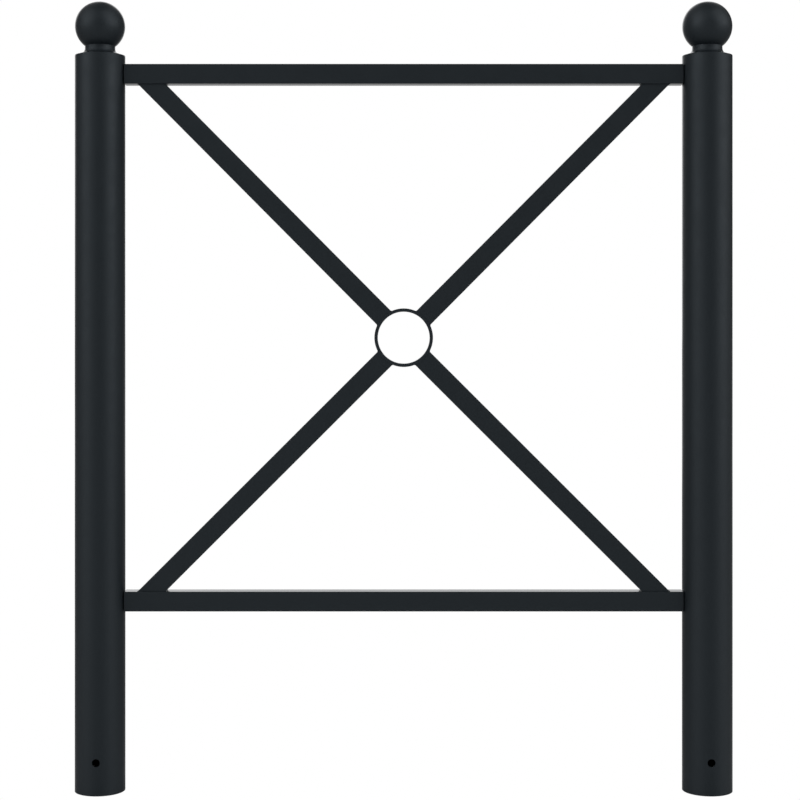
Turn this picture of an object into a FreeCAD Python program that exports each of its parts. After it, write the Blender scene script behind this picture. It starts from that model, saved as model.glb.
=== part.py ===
import FreeCAD, Part
import math
import os

# One bay of a pedestrian guard railing, welded from steel tube.
# Millimetres. X runs along the railing, Z is up and the front faces -Y.
# The origin is the middle of the left post's foot, which stands in the foundation.

V = FreeCAD.Vector

# Overall size
overall_length = 1000.0
overall_height = 1199.5

# Posts: round tube, open at the foot, with a cross hole for an anchor rod
post_diameter = 76.0
post_wall = 3.0
post_top_round = 0.3
anchor_hole_diameter = 12.0
anchor_hole_height = 50.0

# Finials: a hollow ball, nearly as wide as the post, in a flared collar with a spigot
ball_edge_inset = 0.25
ball_wall = 3.0
neck_diameter = 45.7
neck_band_height = 3.4
flare_radius = 9.5
flare_foot_height = 1.55
collar_edge_inset = 0.3
collar_rim_height = 0.8
collar_rim_round = 0.3
collar_core_diameter = 30.0
spigot_length = 25.0
spigot_clearance = 0.3

# Rails: rectangular tube closed by end plates, with a boss between each end and its post
rail_height = 30.0
rail_depth = 25.0
rail_wall = 2.0
rail_end_plate = 3.0
rail_end_gap = 0.2
top_rail_drop = 13.3
bottom_rail_clearance = 273.3
boss_section = 16.0

# Braces: rectangular tube from the rails to the ring, a little shallower than the rails
brace_width = 30.0
brace_depth = 20.0
brace_wall = 2.0
brace_foot_from_post = 41.6
lower_brace_aim_drop = 2.9

# Ring in the middle of the cross: a slice of round tube, as deep as the braces
ring_outer_diameter = 88.9
ring_wall = 5.0
ring_edge_round = 0.5

# Both kinds of rectangular tube have barely rounded long edges
tube_corner_radius = 1.0

# Fillet welds on the two flanks of each brace
weld_leg = 1.0
weld_end_setback = 1.5
weld_crown_height = 0.17

# Worked out from the sizes above
post_radius = post_diameter / 2
post_inner_radius = post_radius - post_wall
post_spacing = overall_length - post_diameter
ball_radius = post_radius - ball_edge_inset
ball_centre_z = overall_height - ball_radius
neck_radius = neck_diameter / 2
ball_seat_drop = math.sqrt(ball_radius**2 - neck_radius**2)
collar_rim_radius = post_radius - collar_edge_inset
flare_top_z = ball_centre_z - ball_seat_drop - neck_band_height
collar_rim_top_z = flare_top_z - flare_radius - flare_foot_height
post_height = collar_rim_top_z - collar_rim_height
top_rail_underside = post_height - top_rail_drop - rail_height
bottom_rail_top = bottom_rail_clearance + rail_height
rail_start_x = post_radius + rail_end_gap
rail_length = post_spacing - 2 * rail_start_x
ring_x = post_spacing / 2
ring_z = (top_rail_underside + bottom_rail_top) / 2
ring_radius = ring_outer_diameter / 2
brace_foot_from_ring = ring_x - post_radius - brace_foot_from_post


def revolved(edges, x):
    """A solid of revolution about the upright line at x, from a closed outline in r and z."""
    solid = Part.Face(Part.Wire(edges)).revolve(V(0, 0, 0), V(0, 0, 1), 360)
    solid.translate(V(x, 0, 0))
    return solid


def line(start, end):
    """A straight edge between two points given as (r or x, z)."""
    return Part.makeLine(V(start[0], 0, start[1]), V(end[0], 0, end[1]))


def arc(start, middle, end):
    """A round edge through three points given as (r or x, z)."""
    points = [V(p[0], 0, p[1]) for p in (start, middle, end)]
    return Part.Arc(*points).toShape()


def rounding(centre, radius, start_angle, end_angle):
    """A round edge about a centre given as (r or x, z), between two angles in radians."""
    angles = (start_angle, (start_angle + end_angle) / 2, end_angle)
    return arc(*[(centre[0] + radius * math.cos(a), centre[1] + radius * math.sin(a)) for a in angles])


def centred_bar(start_x, length, depth, height):
    """A plain bar along X, centred on the X axis."""
    return Part.makeBox(length, depth, height, V(start_x, -depth / 2, -height / 2))


def tube(length, depth, height, wall, end_wall):
    """A rectangular tube along X from 0 with rounded long edges, closed where end_wall isn't 0."""
    bar = centred_bar(0, length, depth, height)
    long_edges = [e for e in bar.Edges if e.BoundBox.XLength > length / 2]
    bore = centred_bar(end_wall, length - 2 * end_wall, depth - 2 * wall, height - 2 * wall)
    return bar.makeFillet(tube_corner_radius, long_edges).cut(bore)


def cross_cylinder(radius, depth, x, z):
    """A cylinder along Y, centred on the railing's middle plane."""
    return Part.makeCylinder(radius, depth, V(x, -depth / 2, z), V(0, 1, 0))


def post(x):
    """A round post with a softened top edge and the anchor rod's hole through both walls."""
    edge_x = post_radius - post_top_round
    edge_z = post_height - post_top_round
    outline = [
        line((post_inner_radius, 0), (post_radius, 0)),
        line((post_radius, 0), (post_radius, edge_z)),
        rounding((edge_x, edge_z), post_top_round, 0, math.pi / 2),
        line((edge_x, post_height), (post_inner_radius, post_height)),
        line((post_inner_radius, post_height), (post_inner_radius, 0)),
    ]
    hole = cross_cylinder(anchor_hole_diameter / 2, 2 * post_diameter, x, anchor_hole_height)
    return revolved(outline, x).cut(hole)


def finial_ball(x):
    """The hollow ball."""
    centre = V(x, 0, ball_centre_z)
    ball = Part.makeSphere(ball_radius, centre)
    return ball.cut(Part.makeSphere(ball_radius - ball_wall, centre))


def finial_collar(x):
    """The collar: a spigot in the post, a rim on its top edge, a flare up to the neck, a cup for the ball."""
    spigot_radius = post_inner_radius - spigot_clearance
    spigot_foot_z = post_height - spigot_length
    core_radius = collar_core_diameter / 2
    rim_edge_x = collar_rim_radius - collar_rim_round
    rim_edge_z = collar_rim_top_z - collar_rim_round
    flare_foot_x = neck_radius + flare_radius
    outline = [
        line((core_radius, spigot_foot_z), (spigot_radius, spigot_foot_z)),
        line((spigot_radius, spigot_foot_z), (spigot_radius, post_height)),
        line((spigot_radius, post_height), (collar_rim_radius, post_height)),
        line((collar_rim_radius, post_height), (collar_rim_radius, rim_edge_z)),
        rounding((rim_edge_x, rim_edge_z), collar_rim_round, 0, math.pi / 2),
        line((rim_edge_x, collar_rim_top_z), (flare_foot_x, collar_rim_top_z)),
        line((flare_foot_x, collar_rim_top_z), (flare_foot_x, flare_top_z - flare_radius)),
        rounding((flare_foot_x, flare_top_z), flare_radius, 3 * math.pi / 2, math.pi),
        line((neck_radius, flare_top_z), (neck_radius, ball_centre_z)),
        line((neck_radius, ball_centre_z), (core_radius, ball_centre_z)),
        line((core_radius, ball_centre_z), (core_radius, spigot_foot_z)),
    ]
    return revolved(outline, x).cut(Part.makeSphere(ball_radius, V(x, 0, ball_centre_z)))


def rail(z):
    """A tube between the posts at height z, closed at both ends."""
    bar = tube(rail_length, rail_depth, rail_height, rail_wall, rail_end_plate)
    bar.translate(V(rail_start_x, 0, z))
    return bar


def rail_boss(post_x, side, z):
    """The boss that carries a rail's end: from the end plate to the post's round face."""
    start_x = min(post_x, post_x + side * rail_start_x)
    corner = V(start_x, -boss_section / 2, z - boss_section / 2)
    boss = Part.makeBox(rail_start_x, boss_section, boss_section, corner)
    return boss.cut(Part.makeCylinder(post_radius, post_height, V(post_x, 0, 0)))


def centre_ring():
    """The ring, as deep as the braces that meet on it, with softened rims."""
    ring = cross_cylinder(ring_radius, brace_depth, ring_x, ring_z)
    ring = ring.cut(cross_cylinder(ring_radius - ring_wall, 2 * brace_depth, ring_x, ring_z))
    rims = [e for e in ring.Edges if e.BoundBox.YLength < ring_edge_round]
    return ring.makeFillet(ring_edge_round, rims)


def brace_line(side, rail_face_z, aim_drop):
    """A brace's centre line: its foot on the rail's face, the point it aims at, and its direction."""
    foot = V(ring_x + side * brace_foot_from_ring, 0, rail_face_z)
    aim = V(ring_x, 0, ring_z - aim_drop)
    direction = V(aim - foot).normalize()
    return foot, aim, direction


def brace(side, rail_face_z, aim_drop):
    """A tube on its centre line, mitred to the rail's face and coped to the ring."""
    foot, aim, direction = brace_line(side, rail_face_z, aim_drop)
    bar = tube((aim - foot).Length + brace_width, brace_depth, brace_width, brace_wall, 0)
    bar.Placement = FreeCAD.Placement(
        foot - direction * brace_width, FreeCAD.Rotation(V(1, 0, 0), direction)
    )
    between_rails = Part.makeBox(
        post_spacing,
        2 * brace_depth,
        top_rail_underside - bottom_rail_top,
        V(0, -brace_depth, bottom_rail_top),
    )
    ring_space = cross_cylinder(ring_radius, 2 * brace_depth, ring_x, ring_z)
    return bar.common(between_rails).cut(ring_space)


def bead(corner, along_one, along_other, root):
    """A fillet weld across the brace: its legs run from corner along two faces.

    The root point closes the section behind the corner, and is the corner itself on a flat face.
    """
    one_toe = corner + along_one * weld_leg
    other_toe = corner + along_other * weld_leg
    middle = (one_toe + other_toe) * 0.5
    crown = middle + V(middle - corner).normalize() * weld_crown_height
    edges = [
        Part.makeLine(other_toe, root),
        Part.makeLine(root, one_toe),
        Part.Arc(one_toe, crown, other_toe).toShape(),
    ]
    length = brace_depth - 2 * weld_end_setback
    solid = Part.Face(Part.Wire(edges)).extrude(V(0, length, 0))
    solid.translate(V(0, -length / 2, 0))
    return solid


def flank_offsets(direction):
    """From the centre line to the middle of each of the brace's two flanks."""
    across = V(-direction.z, 0, direction.x) * (brace_width / 2)
    return [across, across * -1]


def rail_welds(side, rail_face_z, aim_drop):
    """The two beads of a brace on its rail."""
    foot, _, direction = brace_line(side, rail_face_z, aim_drop)
    beads = []
    for offset in flank_offsets(direction):
        corner = foot + offset - direction * (offset.z / direction.z)
        along_rail = V(math.copysign(1, offset.x), 0, 0)
        beads.append(bead(corner, direction, along_rail, corner))
    return Part.makeCompound(beads)


def ring_welds(side, rail_face_z, aim_drop):
    """The two beads of a brace on the ring, with their roots trimmed to the ring's round face."""
    _, aim, direction = brace_line(side, rail_face_z, aim_drop)
    centre = V(ring_x, 0, ring_z)
    ring_space = cross_cylinder(ring_radius, 2 * brace_depth, ring_x, ring_z)
    beads = []
    for offset in flank_offsets(direction):
        start = aim + offset - centre
        inward = start.dot(direction)
        back = inward + math.sqrt(inward**2 - start.Length**2 + ring_radius**2)
        corner = centre + start - direction * back
        radial = V(corner - centre).normalize()
        along_ring = V(-radial.z, 0, radial.x)
        if along_ring.dot(offset) < 0:
            along_ring = along_ring * -1
        root = corner + direction * weld_leg
        beads.append(bead(corner, direction * -1, along_ring, root).cut(ring_space))
    return Part.makeCompound(beads)


def all_parts():
    """Every sub-part by name."""
    parts = {}
    for name, x in (("left", 0.0), ("right", post_spacing)):
        parts[f"{name}_post"] = post(x)
        parts[f"{name}_finial_collar"] = finial_collar(x)
        parts[f"{name}_finial_ball"] = finial_ball(x)
    for name, z in (
        ("top_rail", top_rail_underside + rail_height / 2),
        ("bottom_rail", bottom_rail_top - rail_height / 2),
    ):
        parts[name] = rail(z)
        parts[f"{name}_left_boss"] = rail_boss(0.0, 1, z)
        parts[f"{name}_right_boss"] = rail_boss(post_spacing, -1, z)
    parts["centre_ring"] = centre_ring()
    for name, side in (("left", -1), ("right", 1)):
        for level, face_z, drop in (
            ("upper", top_rail_underside, 0.0),
            ("lower", bottom_rail_top, lower_brace_aim_drop),
        ):
            parts[f"{level}_{name}_brace"] = brace(side, face_z, drop)
            parts[f"{level}_{name}_brace_rail_weld"] = rail_welds(side, face_z, drop)
            parts[f"{level}_{name}_brace_ring_weld"] = ring_welds(side, face_z, drop)
    return parts


os.makedirs("parts", exist_ok=True)
for node, shape in all_parts().items():
    shape.exportStep(f"parts/{node}.step")
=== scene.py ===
import math
import random

import bmesh
import bpy
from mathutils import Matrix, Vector


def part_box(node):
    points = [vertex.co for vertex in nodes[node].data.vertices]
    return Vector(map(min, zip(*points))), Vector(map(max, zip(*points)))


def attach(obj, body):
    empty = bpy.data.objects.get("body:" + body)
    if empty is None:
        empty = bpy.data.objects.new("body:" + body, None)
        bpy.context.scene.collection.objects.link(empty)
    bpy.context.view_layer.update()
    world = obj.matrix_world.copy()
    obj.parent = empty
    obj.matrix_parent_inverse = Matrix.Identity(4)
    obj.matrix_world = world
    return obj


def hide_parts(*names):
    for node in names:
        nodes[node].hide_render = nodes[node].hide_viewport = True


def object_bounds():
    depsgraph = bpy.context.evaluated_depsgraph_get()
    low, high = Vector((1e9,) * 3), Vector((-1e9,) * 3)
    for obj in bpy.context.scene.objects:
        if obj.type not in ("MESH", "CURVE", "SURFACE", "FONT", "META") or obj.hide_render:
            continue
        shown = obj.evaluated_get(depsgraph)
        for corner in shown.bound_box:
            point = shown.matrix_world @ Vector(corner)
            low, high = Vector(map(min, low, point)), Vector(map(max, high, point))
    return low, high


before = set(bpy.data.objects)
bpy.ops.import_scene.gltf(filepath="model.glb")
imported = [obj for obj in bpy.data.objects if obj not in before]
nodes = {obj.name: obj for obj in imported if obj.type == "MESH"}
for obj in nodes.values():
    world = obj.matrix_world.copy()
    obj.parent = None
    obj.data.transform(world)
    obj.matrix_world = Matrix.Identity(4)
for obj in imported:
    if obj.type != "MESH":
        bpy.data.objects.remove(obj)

# Pedestrian guard railing: powder coat and rippled weld beads on the solids, studio and camera.
# Lengths are in metres where nothing else is said.
cad_box = [list(corner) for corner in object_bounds()]
middle_x = (cad_box[0][0] + cad_box[1][0]) / 2

# Camera: level and square to the railing. Lens and shifts are in pixels of the 800 pixel frame.
camera_distance = 2.666
camera_height = 0.7102
camera_clip_end = 200
focal_px = 1751.6
horizon_px = 323.2
centre_px = 403.7
frame_px = 800
sensor_mm = 36.0

# Soft light panels of the studio. Each has the azimuth of its middle (0 in front, 90 at the
# right), the half widths where it starts and ends to fade, its lower and its upper end, all in
# degrees, and its brightness.
panels = {
    "left": (-60, 6, 24, -5, 35, 1.63),
    "left, inner": (-35, 6, 24, -5, 35, 0.56),
    "left, above": (-60, 31, 49, 25, 52, 1.43),
    "left, high": (-60, 31, 49, 42, 70, 0.86),
    "right": (60, 6, 24, -5, 35, 1.77),
    "right, outer": (85, 6, 24, -5, 35, 0.88),
    "right, above": (60, 31, 49, 25, 52, 1.30),
    "right, high": (60, 31, 49, 42, 70, 1.02),
    "rim, left": (-152, 6, 24, -5, 35, 0.66),
    "rim, left, above": (-152, 6, 24, 25, 70, 0.38),
    "rim, right, above": (152, 6, 24, 25, 70, 0.26),
    "back": (180, 8, 22, 2, 45, 1.06),
    "back, low": (180, 8, 22, -16, 18, 0.77),
}
panel_end_fade = 16  # degrees over which a panel's lower and upper end fade
ambient_light = 0.09

# Floor: pale in front and greyer behind, which is painted shade for light that falls off behind the
# railing. Far back its middle glows with painted light, as a studio's lit sweep does.
floor_reach = 60
floor_painted_light_in_front = 0.7
floor_painted_shade_behind = 0.36
floor_front_end = -0.25
floor_back_start = 0.5
sweep_start = 4.0
sweep_end = 7.0  # the glow is full from here on
sweep_full_half_width = 2.0
sweep_half_width = 6.0
sweep_glow = 0.34

# Powder coat: noise varies its colour between two tones and its roughness between two values.
# Towards grazing angles only a share of the roughness is left. A noise has its waves per metre
# and its detail, and a relief has the depths of its orange peel and its grain.
coat_tones = ((0.0089, 0.0132, 0.0167, 1), (0.0103, 0.0151, 0.0190, 1))
coat_ior = 1.575
coat_gloss_tint = (0.81, 0.913, 1.0, 1)
coat_roughness = (0.47, 0.53)
grazing_from_to = (0.55, 0.84)
grazing_roughness_share = 0.3
tone_noise = (14, 3)
roughness_noise = (45, 4)
roughness_noise_from_to = (0.3, 0.7)
peel_noise = (420, 1)
grain_noise = (2600, 2)
tube_relief = (0.00002, 0.000002)
casting_relief = (0.00003, 0.000004)

# Weld beads: crowned fillets as in the solids, rounded at their ends. Each carries the ripples
# that its pass leaves, which lag in the bead's middle and so form crescents.
weld_leg = 0.0010
bead_crown = 0.00021  # height above the straight line from toe to toe
bead_sink = 0.00004  # how deep the toes lie in what the bead joins
bead_end_round = 0.0008  # length of each rounded end
bead_end_scale = 0.12  # size of a rounded end's last section, as a share of the full one
bead_stations = 130
bead_columns = 12
ripple_pitch = 0.0011
ripple_height = 0.00008
ripple_lag = 0.0005
ripple_seed = 4

# The two beads of a weld node in the frame are found by the corners of their end faces
end_face_slack = weld_leg / 100  # a corner that is nearer to the end lies on an end face
section_reach = 3 * weld_leg  # corners that are nearer to each other belong to one bead
corner_decimals = 6  # corners with the same coordinates to so many decimals are one


def add_camera():
    """A level camera in front of the railing, shifted so that the horizon lies above the middle."""
    data = bpy.data.cameras.new("photo_camera")
    data.sensor_width = sensor_mm
    data.lens = focal_px / frame_px * sensor_mm
    data.shift_x = 0.5 - centre_px / frame_px
    data.shift_y = horizon_px / frame_px - 0.5
    data.clip_end = camera_clip_end
    camera = bpy.data.objects.new("photo_camera", data)
    camera.location = (middle_x, -camera_distance, camera_height)
    camera.rotation_euler = (math.pi / 2, 0, 0)
    bpy.context.collection.objects.link(camera)
    bpy.context.scene.camera = camera


def put(tree, socket, value):
    """Gives a socket a value, or the output of another node."""
    if isinstance(value, bpy.types.NodeSocket):
        tree.links.new(value, socket)
    else:
        socket.default_value = value


def operate(tree, kind, operation, values):
    """The outputs of a new Math or Vector Math node."""
    node = tree.nodes.new(kind)
    node.operation = operation
    for socket, value in zip(node.inputs, values):
        put(tree, socket, value)
    return node.outputs


def calculate(tree, operation, *values):
    """A Math node's result."""
    return operate(tree, "ShaderNodeMath", operation, values)["Value"]


def calculate_vector(tree, operation, *values):
    """A Vector Math node's outputs."""
    return operate(tree, "ShaderNodeVectorMath", operation, values)


def split_xyz(tree, vector):
    """A vector's three parts, by name."""
    node = tree.nodes.new("ShaderNodeSeparateXYZ")
    tree.links.new(vector, node.inputs["Vector"])
    return node.outputs


def soft_step(tree, value, start, end, low=0.0, high=1.0):
    """Goes smoothly from low to high while value goes from start to end."""
    node = tree.nodes.new("ShaderNodeMapRange")
    node.interpolation_type = "SMOOTHSTEP"
    values = {"Value": value, "From Min": start, "From Max": end, "To Min": low, "To Max": high}
    for name, number in values.items():
        put(tree, node.inputs[name], number)
    return node.outputs["Result"]


def camera_ray(tree):
    """1 for what the camera sees itself, 0 for what only lights something."""
    return tree.nodes.new("ShaderNodeLightPath").outputs["Is Camera Ray"]


def new_material(name):
    """A new material with its node tree and Principled shader."""
    material = bpy.data.materials.new(name)
    material.use_nodes = True
    tree = material.node_tree
    return material, tree, tree.nodes["Principled BSDF"]


def noise(tree, place, scale, detail):
    """Noise between 0 and 1 with the given number of waves per metre."""
    node = tree.nodes.new("ShaderNodeTexNoise")
    node.inputs["Scale"].default_value = scale
    node.inputs["Detail"].default_value = detail
    tree.links.new(place, node.inputs["Vector"])
    return node.outputs["Fac"]


def bump(tree, height, depth, under=None):
    """Surface relief of the given depth, on top of the relief under it."""
    node = tree.nodes.new("ShaderNodeBump")
    node.inputs["Distance"].default_value = depth
    tree.links.new(height, node.inputs["Height"])
    if under is not None:
        tree.links.new(under, node.inputs["Normal"])
    return node.outputs["Normal"]


def powder_coat(name, peel_depth, grain_depth):
    """Satin anthracite powder coat: orange peel, fine grain, slight changes in tone and gloss."""
    material, tree, shader = new_material(name)
    place = tree.nodes.new("ShaderNodeTexCoord").outputs["Object"]
    # A colour mix has its factor and its two colours at inputs 0, 6 and 7, its result at output 2
    tone = tree.nodes.new("ShaderNodeMix")
    tone.data_type = "RGBA"
    tone.inputs[6].default_value, tone.inputs[7].default_value = coat_tones
    tree.links.new(noise(tree, place, *tone_noise), tone.inputs[0])
    tree.links.new(tone.outputs[2], shader.inputs["Base Color"])
    uneven = noise(tree, place, *roughness_noise)
    roughness = soft_step(tree, uneven, *roughness_noise_from_to, *coat_roughness)
    facing = tree.nodes.new("ShaderNodeLayerWeight").outputs["Facing"]
    share = soft_step(tree, facing, *grazing_from_to, 1.0, grazing_roughness_share)
    tree.links.new(calculate(tree, "MULTIPLY", roughness, share), shader.inputs["Roughness"])
    shader.inputs["IOR"].default_value = coat_ior
    shader.inputs["Specular Tint"].default_value = coat_gloss_tint
    peel = bump(tree, noise(tree, place, *peel_noise), peel_depth)
    grain = bump(tree, noise(tree, place, *grain_noise), grain_depth, peel)
    tree.links.new(grain, shader.inputs["Normal"])
    return material


def seen_outside_posts(tree, place):
    """1 where the camera sees the floor around the posts, 0 inside them and for other rays."""
    seen = camera_ray(tree)
    for post in ("left_post", "right_post"):
        low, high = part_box(post)
        axis = ((low.x + high.x) / 2, (low.y + high.y) / 2, 0)
        from_axis = calculate_vector(tree, "DISTANCE", place, axis)["Value"]
        outside = calculate(tree, "GREATER_THAN", from_axis, (high.x - low.x) / 2)
        seen = calculate(tree, "MULTIPLY", seen, outside)
    return seen


def add_floor():
    """A wide pale floor. To the camera it is as white as the background, but dark in the posts."""
    corners = [(-1, -1), (1, -1), (1, 1), (-1, 1)]
    mesh = bpy.data.meshes.new("floor")
    vertices = [(x * floor_reach, y * floor_reach, 0) for x, y in corners]
    mesh.from_pydata(vertices, [], [(0, 1, 2, 3)])
    floor = bpy.data.objects.new("floor", mesh)
    bpy.context.collection.objects.link(floor)
    material, tree, shader = new_material("floor_white")
    shader.inputs["Roughness"].default_value = 1.0
    place = tree.nodes.new("ShaderNodeTexCoord").outputs["Object"]
    parts = split_xyz(tree, place)
    # Painted shade: the floor's colour is pale in front and greyer behind, standing in for light
    # that falls off behind the railing
    ends = (floor_front_end, floor_back_start, floor_painted_light_in_front, floor_painted_shade_behind)
    tree.links.new(soft_step(tree, parts["Y"], *ends), shader.inputs["Base Color"])
    # Painted light: far back the floor's middle glows, standing in for a studio's lit sweep
    aside = calculate(tree, "ABSOLUTE", calculate(tree, "SUBTRACT", parts["X"], middle_x))
    behind = soft_step(tree, parts["Y"], sweep_start, sweep_end)
    glow = soft_step(tree, aside, sweep_full_half_width, sweep_half_width, sweep_glow, 0.0)
    shader.inputs["Emission Color"].default_value = (1, 1, 1, 1)
    tree.links.new(calculate(tree, "MULTIPLY", behind, glow), shader.inputs["Emission Strength"])
    # The mix shows input 2 where its factor is 1, and input 1 elsewhere
    white = tree.nodes.new("ShaderNodeEmission")
    pick = tree.nodes.new("ShaderNodeMixShader")
    tree.links.new(seen_outside_posts(tree, place), pick.inputs["Fac"])
    tree.links.new(shader.outputs["BSDF"], pick.inputs[1])
    tree.links.new(white.outputs["Emission"], pick.inputs[2])
    tree.links.new(pick.outputs["Shader"], tree.nodes["Material Output"].inputs["Surface"])
    mesh.materials.append(material)


def panel_light(tree, flat, height, azimuth, full, faded, lower, upper, brightness):
    """Light of one panel from a direction: flat is its unit direction seen from above."""
    turn = math.radians(azimuth)
    middle = (math.sin(turn), -math.cos(turn), 0)
    along = calculate_vector(tree, "DOT_PRODUCT", flat, middle)["Value"]
    width = soft_step(tree, along, *[math.cos(math.radians(a)) for a in (faded, full)])
    ends = (lower, lower + panel_end_fade, upper - panel_end_fade, upper)
    heights = [math.sin(math.radians(a)) for a in ends]
    rise = soft_step(tree, height, *heights[:2])
    fall = soft_step(tree, height, *heights[2:], 1.0, 0.0)
    shape = calculate(tree, "MULTIPLY", width, calculate(tree, "MULTIPLY", rise, fall))
    return calculate(tree, "MULTIPLY", shape, brightness)


def add_world():
    """White all round for the camera; soft panels in the dark for the light on the railing."""
    world = bpy.data.worlds.new("studio")
    bpy.context.scene.world = world
    world.use_nodes = True
    tree = world.node_tree
    direction = tree.nodes.new("ShaderNodeTexCoord").outputs["Generated"]
    height = split_xyz(tree, direction)["Z"]
    level = calculate_vector(tree, "MULTIPLY", direction, (1, 1, 0))["Vector"]
    flat = calculate_vector(tree, "NORMALIZE", level)["Vector"]
    light = ambient_light
    for panel in panels.values():
        light = calculate(tree, "ADD", light, panel_light(tree, flat, height, *panel))
    seen = camera_ray(tree)
    unseen = calculate(tree, "SUBTRACT", 1.0, seen)
    background = tree.nodes["Background"]
    background.inputs["Color"].default_value = (1, 1, 1, 1)
    strength = calculate(tree, "MULTIPLY_ADD", unseen, light, seen)
    tree.links.new(strength, background.inputs["Strength"])


def end_sections(node):
    """The corners of the end faces of a weld node's two beads, as points in x and z."""
    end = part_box(node)[1].y
    at_end = [v.co.xz for v in nodes[node].data.vertices if abs(v.co.y - end) < end_face_slack]
    places = {tuple(round(c, corner_decimals) for c in place) for place in at_end}
    points = [Vector(place) for place in sorted(places)]
    first = [p for p in points if (p - points[0]).length < section_reach]
    return first, [p for p in points if p not in first]


def corner_and_toes(section):
    """The point of a bead's section with two others one leg away from it, and those two."""
    def by_miss(corner):
        return sorted(section, key=lambda p: abs((p - corner).length - weld_leg))[:2]

    corner = min(section, key=lambda c: sum(abs((p - c).length - weld_leg) for p in by_miss(c)))
    return corner, *by_miss(corner)


def ripple(place):
    """Height of overlapping scallops, from 0 in the valleys to 1, at a place along the weld."""
    phase = place / ripple_pitch % 1.0
    return 1.0 - (2.0 * phase - 1.0) ** 2


def add_bead(bm, section, half_length, chance):
    """One rippled weld bead along Y between its two toes, sunk slightly into what it joins."""
    corner, toe, other_toe = corner_and_toes(section)
    outward = ((toe + other_toe) / 2 - corner).normalized()
    start = chance.random() * ripple_pitch
    rows = []
    for i in range(bead_stations + 1):
        y = half_length * (2 * i / bead_stations - 1)
        # 0 as far as the rounded end, 1 at its tip
        to_end = max(0.0, abs(y) - half_length + bead_end_round) / bead_end_round
        scale = max(bead_end_scale, math.sqrt(max(0.0, 1 - to_end**2)))
        row = []
        for j in range(bead_columns + 1):
            across = j / bead_columns
            bulge = 4 * across * (1 - across)
            height = bead_crown + ripple_height * (ripple(y + start + ripple_lag * bulge) - 0.5)
            point = toe.lerp(other_toe, across) + outward * (height * bulge)
            row.append(corner + (point - corner) * scale - outward * bead_sink)
        row.append(corner - outward * 2 * bead_sink)
        rows.append([bm.verts.new((p.x, y, p.y)) for p in row])
    for near, far in zip(rows, rows[1:]):
        for j in range(len(near)):
            k = (j + 1) % len(near)
            bm.faces.new((near[j], near[k], far[k], far[j]))
    bm.faces.new(rows[0])
    bm.faces.new(reversed(rows[-1]))


def add_weld(node, material, chance):
    """Rippled beads in place of a weld node."""
    bm = bmesh.new()
    half_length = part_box(node)[1].y
    for section in end_sections(node):
        add_bead(bm, section, half_length, chance)
    bmesh.ops.recalc_face_normals(bm, faces=bm.faces)
    for face in bm.faces:
        face.smooth = True
    mesh = bpy.data.meshes.new(f"{node}_beads")
    bm.to_mesh(mesh)
    bm.free()
    mesh.materials.append(material)
    beads = bpy.data.objects.new(f"{node}_beads", mesh)
    bpy.context.collection.objects.link(beads)
    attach(beads, "root")
    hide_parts(node)


add_camera()
add_floor()
add_world()
bpy.context.scene.view_settings.view_transform = "Standard"

coat = powder_coat("tube_coat", *tube_relief)
casting_coat = powder_coat("casting_coat", *casting_relief)
for name, node in nodes.items():
    node.data.materials.clear()
    node.data.materials.append(casting_coat if "finial" in name else coat)

chance = random.Random(ripple_seed)
for name in sorted(nodes):
    if name.endswith("_weld"):
        add_weld(name, coat, chance)
